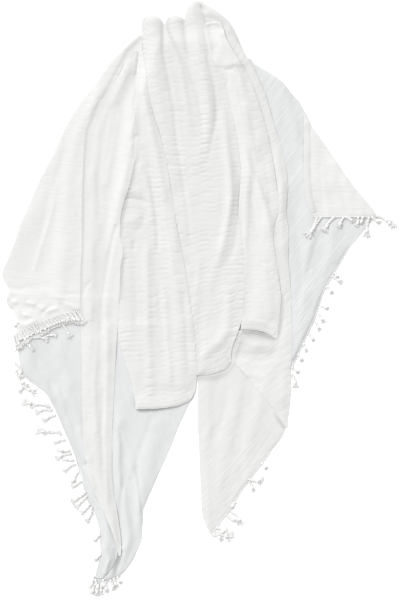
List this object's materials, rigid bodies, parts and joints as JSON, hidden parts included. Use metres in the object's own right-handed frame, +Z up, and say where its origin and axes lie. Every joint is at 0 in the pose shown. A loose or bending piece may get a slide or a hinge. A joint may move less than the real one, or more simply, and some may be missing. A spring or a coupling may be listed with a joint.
{
  "type": "prayer shawl",
  "caption": "White cotton gauze prayer shawl with knotted tassel fringe, gathered into pleats at the top and laid flat with its ends folded out to both sides.",
  "frame": {"origin": "on the surface it lies on, under the middle of the whole shawl", "axes": "+Z up from that surface, +Y towards the pleated crest, +X towards the side with the small fringed corner"},
  "size_m": [0.9732, 1.48, 0.0391],
  "materials": {
    "cotton": "matt crinkled white cotton gauze with a faint windowpane weave",
    "hem": "doubled cotton gauze hem with two rows of stitching",
    "fringe": "twisted and knotted white cotton yarn"
  },
  "bodies": {
    "root": {"hidden_folds": "cotton", "right_back": "cotton", "right_lower": "cotton", "right_strip": "cotton", "right_wing": "cotton", "left_tail": "cotton", "left_lower": "cotton", "left_wing": "cotton", "left_strip": "cotton", "top_fold": "cotton", "front_middle": "cotton", "front_right": "cotton", "front_left": "cotton", "hem_front_left": "hem", "hem_front_middle": "hem", "hem_front_right": "hem", "hem_right_wing": "hem", "fringe_left_wing": "fringe", "fringe_left_lower": "fringe", "fringe_left_tip": "fringe", "fringe_right_lower": "fringe", "fringe_right_back": "fringe", "fringe_right_wing": "fringe"}
  },
  "joints": []
}
